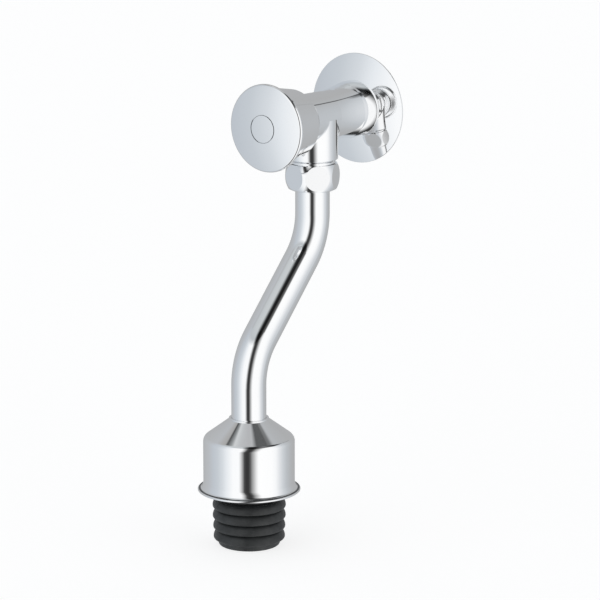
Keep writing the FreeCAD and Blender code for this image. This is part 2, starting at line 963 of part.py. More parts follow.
def piston_clip(doc):
    """The spring clip that holds the piston against the spindle's collar."""
    body = new_body(doc, "piston_clip")
    rear = place.piston_front + 2 * size.face_gap
    front = place.piston_front + size.clip_width
    inner = size.spindle_radius - size.clip_width + size.fit_gap
    turn_out(body, "ring", [(rear, inner), (rear, size.clip_radius), (front, size.clip_radius), (front, inner)])
    sketch = new_sketch(body, "mouth_outline", "XZ_Plane", offset=(0, 0, front))
    mouth = size.clip_width * 2
    add_edges(sketch, [(-mouth, 0), (mouth, 0), (mouth, 2 * size.clip_radius), (-mouth, 2 * size.clip_radius)])
    pocket(body, "mouth", sketch, size.clip_width)
    return body


def valve_washer(doc):
    """The rubber washer that closes the seat."""
    body = new_body(doc, "valve_washer")
    inner = size.spindle_tail_radius + size.fit_gap
    rear = place.washer_rear
    front = place.washer_front
    turn_out(
        body,
        "disc",
        [(rear, inner), (rear, size.washer_radius), (front, size.washer_radius), (front, inner)],
    )
    return body


def washer_holder(doc):
    """The cup that backs the washer and keeps its edge from spreading."""
    body = new_body(doc, "washer_holder")
    inner = size.spindle_tail_radius + size.fit_gap
    cup = size.washer_radius + size.fit_gap
    floor = place.washer_rear - size.face_gap
    rim = place.washer_rear + size.holder_rim
    turn_out(
        body,
        "cup",
        [
            (place.holder_rear, inner),
            (place.holder_rear, cup + size.holder_wall),
            (rim, cup + size.holder_wall),
            (rim, cup),
            (floor, cup),
            (floor, inner),
        ],
    )
    return body


def holder_nut(doc):
    """The small nut that clamps holder and washer on the spindle's tail."""
    body = new_body(doc, "holder_nut")
    front = place.holder_rear - size.face_gap
    sketch = new_sketch(body, "hex_outline", "XZ_Plane", offset=(0, 0, front - size.holder_nut_height))
    add_edges(sketch, hexagon(size.holder_nut_flats))
    add_circle(sketch, 0, 0, size.spindle_tail_radius + size.fit_gap)
    pad(body, "hex", sketch, size.holder_nut_height)
    return body


def return_spring(doc):
    """The coil spring between the seat ring and the piston."""
    body = new_body(doc, "return_spring")
    start = place.sleeve_rear + size.seat_ring_height + size.spring_wire + size.face_gap
    end = place.piston_rear - size.spring_wire
    sketch = new_sketch(body, "wire_outline")
    add_circle(sketch, -start, size.spring_radius, size.spring_wire)
    coil = body.newObject("PartDesign::AdditiveHelix", "coil")
    coil.Profile = sketch
    coil.ReferenceAxis = (sketch, ["H_Axis"])
    coil.Mode = "height-turns-growth"
    coil.Reversed = True
    bind(coil, "Height", end - start)
    bind(coil, "Turns", size.spring_turns)
    return body


def button_outline():
    """The one-piece push button: conical skirt with a short flare, thin bright rim, bevelled edge and shallow dome."""
    hollow = size.neck_radius + size.skirt_gap
    rim = size.button_rim_radius
    rim_rear = size.button_rim_out - size.button_rim_width
    round_edge = size.button_rim_round
    skirt_edge = size.skirt_edge_radius
    skirt_start = place.skirt_rear + size.free_gap
    flare_start = rim_rear - size.skirt_flare_length
    flare_foot = skirt_edge + (flare_start - skirt_start) * tangent(size.skirt_slope)
    flare_rise = rim - round_edge - flare_foot
    flare_lift = flare_rise * cosine(size.skirt_slope) - size.skirt_flare_length * sine(size.skirt_slope)
    flare_reach = size.skirt_flare_length * size.skirt_flare_length + flare_rise * flare_rise
    boss_hole = size.spindle_front_radius + size.fit_gap
    screw_hole = size.screw_radius + size.slide_gap
    counterbore = size.screw_head_radius + size.free_gap
    hollow_turn = place.boss_rear
    return [
        (place.skirt_rear, hollow),
        (place.skirt_rear, skirt_edge - size.free_gap),
        (skirt_start, skirt_edge),
        (flare_start, flare_foot, right(flare_reach / (2 * flare_lift))),
        (rim_rear, rim - round_edge, left(round_edge)),
        (rim_rear + round_edge, rim),
        (size.button_rim_out, rim, left(size.button_edge_round)),
        (place.dome_edge, place.dome_edge_radius, left(size.button_dome_radius)),
        (place.dome_at(size.index_radius), size.index_radius),
        (place.index_floor, size.index_radius),
        (place.index_floor, counterbore),
        (place.screw_floor, counterbore),
        (place.screw_floor, screw_hole),
        (place.plate_rear, screw_hole),
        (place.plate_rear, boss_hole),
        (place.boss_rear, boss_hole),
        (place.boss_rear, size.boss_radius),
        (place.plate_rear, size.boss_radius),
        (place.plate_rear, size.button_hollow_radius),
        (hollow_turn, (size.button_hollow_radius + hollow) / 2),
        (size.body_front_out, hollow),
    ]


def push_button(doc):
    body = new_body(doc, "push_button")
    turn_out(body, "shell", flipped(button_outline()))
    return body


def index_disc(doc):
    """The plain round disc that covers the button's screw."""
    body = new_body(doc, "index_disc")
    edge = size.index_radius - size.index_gap
    back = place.index_floor + size.face_gap
    turn_out(
        body,
        "disc",
        [
            (back, 0),
            (back, edge),
            (place.dome_at(edge), edge, right(size.button_dome_radius)),
            (place.dome_top, 0),
        ],
    )
    return body


def button_screw(doc):
    """The screw that holds the push button on the spindle."""
    body = new_body(doc, "button_screw")
    head_rear = place.screw_floor + size.face_gap / 2
    head_front = head_rear + size.screw_head_height
    tip = place.screw_floor - size.screw_length
    turn_out(
        body,
        "shank",
        [
            (tip, 0),
            (tip, size.screw_radius),
            (head_rear, size.screw_radius),
            (head_rear, size.screw_head_radius),
            (head_front, size.screw_head_radius),
            (head_front, 0),
        ],
    )
    sketch = new_sketch(body, "slot_outline", "XZ_Plane", offset=(0, 0, head_front))
    half_slot = size.screw_head_height / 4
    reach = size.screw_head_radius + 1
    add_edges(sketch, [(-reach, -half_slot), (reach, -half_slot), (reach, half_slot), (-reach, half_slot)])
    pocket(body, "slot", sketch, size.screw_head_height / 2)
    return body


def coupling_nut(doc):
    """The domed hexagon nut that joins the flush pipe to the outlet branch."""
    body = new_body(doc, "coupling_nut", out=size.outlet_out)
    bind(body, "Placement.Rotation.Angle", size.nut_turn)
    sketch = new_sketch(body, "hex_outline", "XY_Plane", offset=(0, 0, place.nut_bottom))
    add_edges(sketch, hexagon(size.nut_flats))
    pad(body, "hex", sketch, size.nut_height)
    beyond = size.nut_flats
    belly = place.nut_top - size.nut_belly_drop
    curve = rise_radius(size.nut_belly_drop, size.nut_corner_radius - size.nut_end_radius)
    foot = place.nut_bottom + size.nut_foot_bevel
    foot_drop = belly - foot
    foot_radius = size.nut_corner_radius - curve + root(curve * curve - foot_drop * foot_drop)
    turn_up(
        body,
        "rounding",
        [
            (size.nut_end_radius, place.nut_top, left(curve)),
            (size.nut_corner_radius, belly, left(curve)),
            (foot_radius, foot),
            (size.nut_foot_radius, place.nut_bottom),
            (size.nut_foot_radius, place.nut_bottom - 1),
            (beyond, place.nut_bottom - 1),
            (beyond, place.nut_top + 1),
            (size.nut_end_radius, place.nut_top + 1),
        ],
        removes=True,
    )
    thread = size.outlet_thread_radius + size.slide_gap
    pipe_hole = size.pipe_radius + size.free_gap
    turn_up(
        body,
        "bore",
        [
            (0, place.nut_top + 1),
            (thread, place.nut_top + 1),
            (thread, place.nut_floor),
            (pipe_hole, place.nut_floor),
            (pipe_hole, place.nut_bottom - 1),
            (0, place.nut_bottom - 1),
        ],
        removes=True,
    )
    return body


def pipe_seal(doc):
    """The rubber ring that the coupling nut presses onto the branch's foot and the pipe."""
    body = new_body(doc, "pipe_seal", out=size.outlet_out)
    inner = size.pipe_radius + size.running_gap
    outer = size.outlet_thread_radius - size.slide_gap
    top = place.thread_foot - size.face_gap
    bottom = top - size.seal_thickness
    turn_up(body, "ring", [(inner, top), (outer, top), (outer, bottom), (inner, bottom)])
    return body


def slip_washer(doc):
    """The hard washer that lets the nut turn without rubbing the seal."""
    body = new_body(doc, "slip_washer", out=size.outlet_out)
    inner = size.pipe_radius + size.running_gap
    outer = size.outlet_thread_radius - size.slide_gap
    top = place.thread_foot - size.seal_thickness - 2 * size.face_gap
    bottom = top - size.slip_washer_thickness
    turn_up(body, "ring", [(inner, top), (outer, top), (outer, bottom), (inner, bottom)])
    return body


def pipe_path():
    """The pipe's middle line from its top end, in (out-of-branch, height) with the offset along -Y."""
    half_turn = tangent(size.pipe_slant / 2)
    setback = size.pipe_bend_radius * half_turn
    run_y = sine(size.pipe_slant) * setback
    run_z = cosine(size.pipe_slant) * setback
    upper = -size.pipe_upper_corner_drop
    lower = upper - size.pipe_offset / tangent(size.pipe_slant)
    far = -size.pipe_offset
    return [
        (0, place.socket_top - size.face_gap),
        (0, upper + setback, left(size.pipe_bend_radius)),
        (-run_y, upper - run_z),
        (far + run_y, lower + run_z, right(size.pipe_bend_radius)),
        (far, lower - setback),
        (far, -size.pipe_end_drop),
    ]


def flush_pipe(doc):
    """The chromed tube with its S offset, swept along its middle line."""
    body = new_body(doc, "flush_pipe", out=size.outlet_out)
    path = new_sketch(body, "middle_line")
    edges = add_edges(path, pipe_path(), closed=False)
    ring = new_sketch(body, "tube_outline", "XY_Plane", offset=(0, 0, place.socket_top - size.face_gap))
    add_circle(ring, 0, 0, size.pipe_radius)
    add_circle(ring, 0, 0, size.pipe_radius - size.pipe_wall)
    tube = body.newObject("PartDesign::AdditivePipe", "tube")
    tube.Profile = ring
    tube.Spine = (path, [f"Edge{edge + 1}" for edge in edges])
    return body


def cover_outline():
    """The spun cover: neck, cone, round shoulder, cylinder and rolled brim."""
    wall = size.cover_wall
    top = size.cover_top_rise - size.pipe_end_drop
    neck_foot = top - size.cover_neck_height
    cone_foot = neck_foot - size.cover_cone_height
    shoulder_foot = cone_foot - size.cover_shoulder_radius / 2
    cone_radius = size.cover_radius - size.cover_shoulder_radius / 2
    brim_foot = top - size.cover_height
    brim_top = brim_foot + size.brim_height
    flare = size.brim_radius - size.cover_radius - size.brim_lip / 2
    inner_flare = size.brim_radius - size.cover_radius
    flare_height = size.brim_height - size.brim_lip
    hole = size.pipe_radius + size.running_gap
    return [
        (hole, top),
        (size.cover_neck_radius, top),
        (size.cover_neck_radius, neck_foot),
        (cone_radius, cone_foot, left(size.cover_shoulder_radius)),
        (size.cover_radius, shoulder_foot),
        (size.cover_radius, brim_top, right(rise_radius(flare_height, flare))),
        (size.cover_radius + flare, brim_foot + size.brim_lip),
        (size.brim_radius, brim_foot + size.brim_lip / 2),
        (size.brim_radius, brim_foot),
        (size.brim_radius - wall, brim_foot, left(rise_radius(size.brim_height, inner_flare))),
        (size.cover_radius - wall, brim_top),
        (size.cover_radius - wall, shoulder_foot),
        (cone_radius - wall, cone_foot - wall / 2),
        (hole, neck_foot - wall / 2),
    ]


def pipe_cover(doc):
    body = new_body(doc, "pipe_cover", out=size.outlet_out + size.pipe_offset)
    turn_up(body, "shell", cover_outline())
    return body


def rubber_outline():
    """The connector's section: a plain top sleeve, a ribbed plug and a tapered tip."""
    bore = size.pipe_radius + size.fit_gap
    top = size.rubber_overlap - size.pipe_end_drop
    plug_top = size.rubber_root_rise - size.pipe_end_drop
    first_rib = size.rib_first_rise - size.pipe_end_drop
    corners = [
        (bore, top),
        (size.rubber_top_radius - size.rubber_round, top, left(size.rubber_round)),
        (size.rubber_top_radius, top - size.rubber_round),
        (size.rubber_top_radius, plug_top + size.rubber_round),
        (size.rubber_root_radius, plug_top),
    ]
    for number in range(int(SIZES["rib_count"])):
        middle = first_rib - number * size.rib_pitch
        crest = size.rib_radius - number * size.rib_taper
        corners += [
            (size.rubber_root_radius, middle + size.rib_foot / 2),
            (crest, middle + size.rib_land / 2),
            (crest, middle - size.rib_land / 2),
            (size.rubber_root_radius, middle - size.rib_foot / 2),
        ]
    last_rib = first_rib - (size.rib_count - 1) * size.rib_pitch
    tip_top = last_rib - size.rib_foot / 2 - size.slide_gap
    tip = tip_top - size.rubber_tip_height
    corners += [
        (size.rubber_root_radius, tip_top),
        (size.rubber_tip_radius, tip),
        (bore - size.rubber_stop, tip),
        (bore - size.rubber_stop, -size.pipe_end_drop - size.face_gap),
        (bore, -size.pipe_end_drop - size.face_gap),
    ]
    return corners


def rubber_connector(doc):
    body = new_body(doc, "rubber_connector", out=size.outlet_out + size.pipe_offset)
    turn_up(body, "plug", rubber_outline())
    return body


PIECES = [
    valve_body,
    inlet_nipple,
    inlet_strainer,
    wall_flange,
    cartridge_sleeve,
    cartridge_o_rings,
    seat_ring,
    gland_nut,
    gland_o_ring,
    bonnet_seal,
    glide_ring,
    spindle,
    piston,
    piston_lip_seal,
    piston_clip,
    valve_washer,
    washer_holder,
    holder_nut,
    return_spring,
    push_button,
    index_disc,
    button_screw,
    coupling_nut,
    pipe_seal,
    slip_washer,
    flush_pipe,
    pipe_cover,
    rubber_connector,
]


def check(doc, pieces):
    """Stop if any feature failed, a cut removed nothing or a piece isn't one valid shape."""
    for item in doc.Objects:
        if "Invalid" in item.State or "Error" in item.State:
            raise RuntimeError(f"{item.Name} failed: {item.State}")
        if item.TypeId in ("PartDesign::Pocket", "PartDesign::Groove"):
            before = item.BaseFeature.Shape.Volume
            if item.Shape.Volume > before - 1e-3:
                raise RuntimeError(f"{item.Name} cut nothing")
    for piece in pieces:
        if piece.Shape.isNull() or not piece.Shape.isValid():
            raise RuntimeError(f"{piece.Label} has no valid shape")


def main():
    doc = FreeCAD.newDocument("flush_valve")
    write_sheet(doc)
    pieces = [make(doc) for make in PIECES]
    doc.recompute()
    check(doc, pieces)
    os.makedirs("parts", exist_ok=True)
    for piece in pieces:
        piece.Shape.exportStep(f"parts/{piece.Label}.step")
        print(piece.Label, len(piece.Shape.Solids), round(piece.Shape.Volume, 1))


main()
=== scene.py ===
import bmesh
import bpy
import math
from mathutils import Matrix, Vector


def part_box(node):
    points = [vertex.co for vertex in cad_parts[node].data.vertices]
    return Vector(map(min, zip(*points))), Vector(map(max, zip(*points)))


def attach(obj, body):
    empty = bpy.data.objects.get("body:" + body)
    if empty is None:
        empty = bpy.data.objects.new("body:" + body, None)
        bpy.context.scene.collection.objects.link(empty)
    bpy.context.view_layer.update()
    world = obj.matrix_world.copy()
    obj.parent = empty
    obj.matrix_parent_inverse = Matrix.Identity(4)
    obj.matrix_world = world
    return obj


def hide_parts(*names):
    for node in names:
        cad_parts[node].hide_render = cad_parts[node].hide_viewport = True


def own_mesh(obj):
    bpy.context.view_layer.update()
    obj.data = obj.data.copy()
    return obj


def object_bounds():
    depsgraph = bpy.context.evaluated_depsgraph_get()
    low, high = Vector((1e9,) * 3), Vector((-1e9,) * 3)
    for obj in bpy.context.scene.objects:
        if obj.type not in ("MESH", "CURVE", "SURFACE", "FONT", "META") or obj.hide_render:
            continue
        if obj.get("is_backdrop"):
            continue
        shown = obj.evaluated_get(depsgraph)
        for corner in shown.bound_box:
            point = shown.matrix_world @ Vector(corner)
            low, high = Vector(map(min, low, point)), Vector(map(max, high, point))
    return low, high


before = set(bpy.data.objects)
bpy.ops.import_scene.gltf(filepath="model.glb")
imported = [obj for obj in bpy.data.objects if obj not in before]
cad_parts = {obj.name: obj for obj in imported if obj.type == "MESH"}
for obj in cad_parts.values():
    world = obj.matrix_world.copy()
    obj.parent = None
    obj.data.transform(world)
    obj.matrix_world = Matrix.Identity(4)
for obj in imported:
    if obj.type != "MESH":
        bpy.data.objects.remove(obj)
for leftover in ("Cube", "Light", "Camera"):    # what an empty Blender starts with
    if leftover in bpy.data.objects:
        bpy.data.objects.remove(bpy.data.objects[leftover])
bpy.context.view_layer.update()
bpy.ops.object.select_all(action="DESELECT")
print("frame loaded:", len(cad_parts), "nodes")

mm = 0.001
origin = Vector((0, 0, 0))
out = Vector((0, -1, 0))    # away from the wall
up = Vector((0, 0, 1))

camera = {
    "azimuth": 36.79,       # degrees round from the button's axis
    "elevation": 12.94,
    "distance": 1.7391,
    "lens": 192.0,
    "sensor": 36.0,
    "clipEnd": 50.0,
    "target": (0.01136, -0.06871, -0.09541),
}


def makeCamera(c):
    data = bpy.data.cameras.new("camera")
    data.lens = c["lens"]
    data.sensor_width = c["sensor"]
    data.clip_end = c["clipEnd"]
    eye = bpy.data.objects.new("camera", data)
    bpy.context.scene.collection.objects.link(eye)
    turn, lift = math.radians(c["azimuth"]), math.radians(c["elevation"])
    back = Vector((math.sin(turn) * math.cos(lift), -math.cos(turn) * math.cos(lift), math.sin(lift)))
    eye.location = Vector(c["target"]) + back * c["distance"]
    eye.rotation_mode = "QUATERNION"
    eye.rotation_quaternion = back.to_track_quat("Z", "Y")
    bpy.context.scene.camera = eye


makeCamera(camera)
bpy.context.scene.view_settings.view_transform = "Standard"
bpy.context.scene.view_settings.look = "None"
print("camera set")


def put(tree, kind, **settings):
    node = tree.nodes.new(kind)
    for name, value in settings.items():
        setattr(node, name, value)
    return node


def rampOf(tree, stops, source):
    # stops: (place from 0 to 1, tone or colour)
    node = put(tree, "ShaderNodeValToRGB")
    points = node.color_ramp.elements
    points[0].position = stops[0][0]
    points[1].position = stops[-1][0]
    for stop in stops[1:-1]:
        points.new(stop[0])
    for point, (place, value) in zip(points, stops):
        colour = (value, value, value) if isinstance(value, (int, float)) else value
        point.position = place
        point.color = (*colour, 1)
    tree.links.new(source, node.inputs["Fac"])
    return node.outputs["Color"]


def maths(tree, operation, a, b=None):
    node = put(tree, "ShaderNodeMath", operation=operation)
    for socket, value in zip(node.inputs, (a, b)):
        if value is None:
            continue
        if isinstance(value, (int, float)):
            socket.default_value = value
        else:
            tree.links.new(value, socket)
    return node.outputs[0]


def blendOf(tree, factor, a, b, mode="MIX"):
    node = put(tree, "ShaderNodeMix", data_type="RGBA", blend_type=mode)
    sockets = [s for s in node.inputs if s.enabled]
    for socket, value in zip(sockets, (factor, a, b)):
        if isinstance(value, (int, float)):
            socket.default_value = value
        else:
            tree.links.new(value, socket)
    return [s for s in node.outputs if s.enabled][0]


def tone(value):
    # a shade of a picture, from 0 to 255, as light
    v = value / 255
    return v / 12.92 if v <= 0.04045 else ((v + 0.055) / 1.055) ** 2.4


def shade(*values):
    return tuple(tone(v) for v in values)


studio = {
    # degrees right of the camera, and the shade of the wall there
    "walls": [(-180, (172, 173, 175)), (-150, (177, 179, 181)), (-120, (183, 186, 190)),
              (-100, (189, 195, 202)), (-85, (196, 202, 208)), (-70, (211, 216, 221)), (-58, (229, 233, 237)),
              (-40, (249, 250, 251)), (30, (254, 254, 254)), (60, (253, 253, 253)), (72, (246, 247, 248)),
              (84, (224, 226, 229)), (96, (203, 207, 211)), (110, (186, 190, 194)), (130, (176, 178, 180)),
              (150, (172, 173, 174)), (180, (172, 173, 175))],
    "gapNormal": (-0.005, 0.985, -0.170),   # the dark gap by the camera leans a little
    # degrees from the middle of the gap, and its shade there
    "gap": [(-21, 255), (-17, 225), (-12.5, 168), (-8, 74), (-3, 55), (2, 56), (6.5, 92), (11.5, 160),
            (16, 195), (21, 232), (26, 255)],
    "gapFront": [(0.5, 0), (0.56, 1)],      # the gap is seen only before the valve, from its side on
    "planeReach": 45.0,     # degrees that a ramp across a plane spans each way
    "leftTop": (44.0, 53.0),    # degrees up, where the left walls give way to the grey above them
    "rightTop": (54.0, 66.0),
    "rightFrom": (5, 20),   # degrees round, where the left walls' top gives way to the right ones'
    # the grey above the walls: degrees up, and its shade there
    "above": [(45, (180, 183, 187)), (56, (190, 195, 198)), (67, (198, 202, 204)), (80, (186, 188, 190)),
              (90, (178, 179, 181))],
    # strips overhead, behind the valve: share to the right, and their shade there
    "strips": [(-0.62, 172), (-0.50, 172), (-0.465, 165), (-0.44, 50), (-0.365, 42), (-0.34, 140),
               (-0.31, 228), (-0.22, 228), (-0.18, 186), (-0.11, 190), (-0.08, 150), (-0.05, 190),
               (0.28, 188), (0.38, 168), (0.42, 110), (0.46, 165), (0.60, 160)],
    "stripsBack": [(0.38, 1), (0.47, 0)],   # they end a little behind the valve
    # a dark edge where the right wall meets the ceiling: degrees up, and what it leaves of the light
    "edge": [(42, 1.0), (46, 0.22), (58, 0.22), (63, 1.0)],
    "edgeSpan": [(-20, 0), (0, 1), (104, 1), (114, 0)],
    "lineNormal": (0.3540, 0.7700, -0.5307),    # its end runs down behind the valve as a thin line
    "line": [(-2.2, 1.0), (-1.0, 0.25), (0.8, 0.25), (1.6, 1.0)],
    "lineSpan": [(102, 0), (108, 1), (138, 1), (141, 0)],
    "corner": [(38, 1.0), (44, 0.2), (80, 0.2), (86, 1.0)],     # where the edge is deepest
    "cornerSpan": [(68, 0), (78, 1), (114, 1), (122, 0)],
    "strength": 1.06,
}


def makeWorld(s):
    world = bpy.data.worlds.new("studio")
    bpy.context.scene.world = world
    world.use_nodes = True
    tree = world.node_tree
    tree.nodes.clear()
    place = put(tree, "ShaderNodeTexCoord")
    turn = put(tree, "ShaderNodeVectorRotate", rotation_type="Z_AXIS")
    turn.inputs["Angle"].default_value = math.radians(90 - camera["azimuth"])
    tree.links.new(place.outputs["Generated"], turn.inputs["Vector"])
    axes = put(tree, "ShaderNodeSeparateXYZ")   # X to the camera, Y to its right, Z up
    tree.links.new(turn.outputs["Vector"], axes.inputs["Vector"])
    circle = put(tree, "ShaderNodeTexGradient", gradient_type="RADIAL")
    tree.links.new(turn.outputs["Vector"], circle.inputs["Vector"])
    around = circle.outputs["Fac"]

    def level(degrees):
        return degrees / 180 + 0.5

    def side(degrees):
        return degrees / 360 + 0.5

    def shifted(socket, scale, offset=0.5):
        return maths(tree, "ADD", maths(tree, "MULTIPLY", socket, scale), offset)

    def byHeight(stops):
        return rampOf(tree, [(level(degrees), value) for degrees, value in stops], height)

    def byPlane(normal, stops):
        # light by degrees from a plane through the middle
        lean = put(tree, "ShaderNodeVectorMath", operation="DOT_PRODUCT")
        lean.inputs[1].default_value = normal
        tree.links.new(turn.outputs["Vector"], lean.inputs[0])
        span = 2 * s["planeReach"]
        off = shifted(maths(tree, "ARCSINE", lean.outputs["Value"]), 1 / math.radians(span))
        return rampOf(tree, [(degrees / span + 0.5, value) for degrees, value in stops], off)

    def darkened(light, amount, span):
        reach = rampOf(tree, [(side(degrees), share) for degrees, share in span], around)
        return blendOf(tree, reach, light, blendOf(tree, 1.0, light, amount, "MULTIPLY"))

    height = shifted(maths(tree, "ARCSINE", axes.outputs["Z"]), 1 / math.pi)
    toCamera = shifted(axes.outputs["X"], 0.5)
    walls = rampOf(tree, [(side(degrees), shade(*c)) for degrees, c in s["walls"]], around)
    above = byHeight([(degrees, shade(*c)) for degrees, c in s["above"]])
    strips = rampOf(tree, [(share / 2 + 0.5, tone(t)) for share, t in s["strips"]],
                    shifted(axes.outputs["Y"], 0.5))
    above = blendOf(tree, rampOf(tree, s["stripsBack"], toCamera), above, strips)
    leftTop, rightTop = (byHeight([(degrees, k) for k, degrees in enumerate(s[top])])
                         for top in ("leftTop", "rightTop"))
    onRight = rampOf(tree, [(side(degrees), k) for k, degrees in enumerate(s["rightFrom"])], around)
    light = blendOf(tree, blendOf(tree, onRight, leftTop, rightTop), walls, above)
    light = darkened(light, byHeight(s["edge"]), s["edgeSpan"])
    light = darkened(light, byPlane(s["lineNormal"], s["line"]), s["lineSpan"])
    light = darkened(light, byHeight(s["corner"]), s["cornerSpan"])
    gap = byPlane(s["gapNormal"], [(degrees, tone(t)) for degrees, t in s["gap"]])
    facing = rampOf(tree, s["gapFront"], toCamera)
    light = blendOf(tree, facing, light, blendOf(tree, 1.0, light, gap, "MULTIPLY"))

    glow = put(tree, "ShaderNodeBackground")
    glow.inputs["Strength"].default_value = s["strength"]
    tree.links.new(light, glow.inputs["Color"])
    last = put(tree, "ShaderNodeOutputWorld")
    tree.links.new(glow.outputs[0], last.inputs[0])


makeWorld(studio)
print("studio made")


def newMaterial(name, base, metallic=0.0, roughness=0.3, **more):
    material = bpy.data.materials.new(name)
    material.use_nodes = True
    shader = material.node_tree.nodes["Principled BSDF"]
    shader.inputs["Base Color"].default_value = (*base, 1)
    shader.inputs["Metallic"].default_value = metallic
    shader.inputs["Roughness"].default_value = roughness
    for socket, value in more.items():
        shader.inputs[socket.replace("_", " ")].default_value = value
    return material, material.node_tree, shader


def objectNoise(tree, scale, detail, roughness=0.5, stretch=(1, 1, 1)):
    place = put(tree, "ShaderNodeTexCoord")
    mapping = put(tree, "ShaderNodeMapping")
    mapping.inputs["Scale"].default_value = stretch
    noise = put(tree, "ShaderNodeTexNoise")
    noise.inputs["Scale"].default_value = scale
    noise.inputs["Detail"].default_value = detail
    noise.inputs["Roughness"].default_value = roughness
    tree.links.new(place.outputs["Object"], mapping.inputs["Vector"])
    tree.links.new(mapping.outputs["Vector"], noise.inputs["Vector"])
    return noise.outputs["Fac"]


def varied(tree, shader, socket, stops, **noise):
    # colour or roughness that follows a noise from one value to the other
    tree.links.new(rampOf(tree, stops, objectNoise(tree, **noise)), shader.inputs[socket])


def bumped(tree, shader, strength, height, **noise):
    bump = put(tree, "ShaderNodeBump")
    bump.inputs["Strength"].default_value = strength
    bump.inputs["Distance"].default_value = height
    tree.links.new(objectNoise(tree, **noise), bump.inputs["Height"])
    tree.links.new(bump.outputs["Normal"], shader.inputs["Normal"])


def chromeMaterial():
    # bright plating: a soft variation of gloss and a faint wave of the polished casting under it
    material, tree, shader = newMaterial("polishedChrome", (0.94, 0.945, 0.95), metallic=1.0, roughness=0.04)
    varied(tree, shader, "Roughness", [(0.35, 0.025), (0.7, 0.06)], scale=45, detail=4)
    varied(tree, shader, "Base Color", [(0.3, (0.93, 0.937, 0.945)), (0.7, (0.955, 0.957, 0.96))],
           scale=18, detail=2)
    bumped(tree, shader, strength=0.05, height=0.2 * mm, scale=60, detail=1)
    return material


def creaseShadeMaterial():
    # painted shade: a dark metal that stands in for the shadow in a fold or groove
    material, tree, shader = newMaterial("foldPaintedShade", (0.10, 0.105, 0.11), metallic=0.7, roughness=0.35)
    varied(tree, shader, "Base Color", [(0.3, (0.05, 0.053, 0.056)), (0.7, (0.17, 0.175, 0.18))],
           scale=300, detail=4)
    return material


def brassMaterial():
    material, tree, shader = newMaterial("turnedBrass", (0.78, 0.57, 0.28), metallic=1.0, roughness=0.28)
    varied(tree, shader, "Base Color", [(0.3, (0.66, 0.45, 0.20)), (0.7, (0.83, 0.63, 0.33))],
           scale=120, detail=5)
    varied(tree, shader, "Roughness", [(0.3, 0.2), (0.7, 0.38)], scale=300, detail=4)
    # turning marks run round the Y axis
    bumped(tree, shader, strength=0.25, height=0.1 * mm, scale=900, detail=2, stretch=(0.05, 1, 0.05))
    return material


def steelMaterial():
    material, tree, shader = newMaterial("springSteel", (0.62, 0.62, 0.63), metallic=1.0, roughness=0.25)
    varied(tree, shader, "Base Color", [(0.3, (0.52, 0.52, 0.53)), (0.7, (0.7, 0.7, 0.71))],
           scale=400, detail=4)
    varied(tree, shader, "Roughness", [(0.3, 0.18), (0.7, 0.36)], scale=700, detail=3)
    bumped(tree, shader, strength=0.1, height=0.05 * mm, scale=1500, detail=2)
    return material


def plasticMaterial():
    material, tree, shader = newMaterial("whiteAcetal", (0.82, 0.82, 0.79), roughness=0.35,
                                         Subsurface_Weight=0.08)
    varied(tree, shader, "Base Color", [(0.3, (0.76, 0.76, 0.72)), (0.7, (0.85, 0.85, 0.82))],
           scale=90, detail=4)
    varied(tree, shader, "Roughness", [(0.3, 0.28), (0.7, 0.46)], scale=500, detail=3)
    bumped(tree, shader, strength=0.15, height=0.05 * mm, scale=1200, detail=3)
    return material


def rubberMaterial(name, dark, light, rough):
    material, tree, shader = newMaterial(name, dark, roughness=rough, Specular_IOR_Level=0.45)
    varied(tree, shader, "Base Color", [(0.35, dark), (0.75, light)], scale=220, detail=6, roughness=0.6)
    varied(tree, shader, "Roughness", [(0.3, rough - 0.08), (0.7, rough + 0.1)], scale=600, detail=4)
    bumped(tree, shader, strength=0.35, height=0.08 * mm, scale=1800, detail=4, roughness=0.7)
    return material


finishes = {
    "chrome": chromeMaterial(),
    "brass": brassMaterial(),
    "steel": steelMaterial(),
    "plastic": plasticMaterial(),
    "seal_rubber": rubberMaterial("sealRubber", (0.02, 0.02, 0.021), (0.035, 0.035, 0.036), 0.5),
    "black_rubber": rubberMaterial("connectorRubber", (0.022, 0.024, 0.025), (0.04, 0.043, 0.044), 0.42),
}
creaseShade = creaseShadeMaterial()

for name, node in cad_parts.items():
    for place in node.material_slots:
        slotName = place.material.name.split(".")[0]
        place.material = finishes[slotName]
print("finishes given to the nodes")

weld = {
    # points nearer than this become one
    "line": 0.0001 * mm,
    "turn": 0.002 * mm,
    "thread": 0.005 * mm,
    "pick": 0.001 * mm,     # a corner's point is found within this
}


def activate(piece):
    bpy.ops.object.select_all(action="DESELECT")
    piece.select_set(True)
    bpy.context.view_layer.objects.active = piece


def selectMesh():
    bpy.ops.object.mode_set(mode="EDIT")
    bpy.ops.mesh.select_all(action="SELECT")


def leaveMesh():
    bpy.ops.object.mode_set(mode="OBJECT")


def addModifier(piece, kind, **settings):
    activate(piece)
    modifier = piece.modifiers.new(kind.lower(), kind)
    for name, value in settings.items():
        setattr(modifier, name, value)
    bpy.ops.object.modifier_apply(modifier=modifier.name)


def startLine(name, place):
    # a small plane drawn together into the line's first point
    bpy.ops.object.select_all(action="DESELECT")
    bpy.ops.mesh.primitive_plane_add(size=mm, location=place)
    piece = bpy.context.object
    piece.name = name
    bpy.ops.object.transform_apply(location=True, rotation=False, scale=False)
    selectMesh()
    bpy.ops.mesh.merge(type="CENTER")
    return piece


def drawLine(name, points):
    # the line's points are extruded one from the other
    piece = startLine(name, points[0])
    for start, end in zip(points, points[1:]):
        bpy.ops.mesh.extrude_region_move(TRANSFORM_OT_translate={"value": end - start})
    return piece


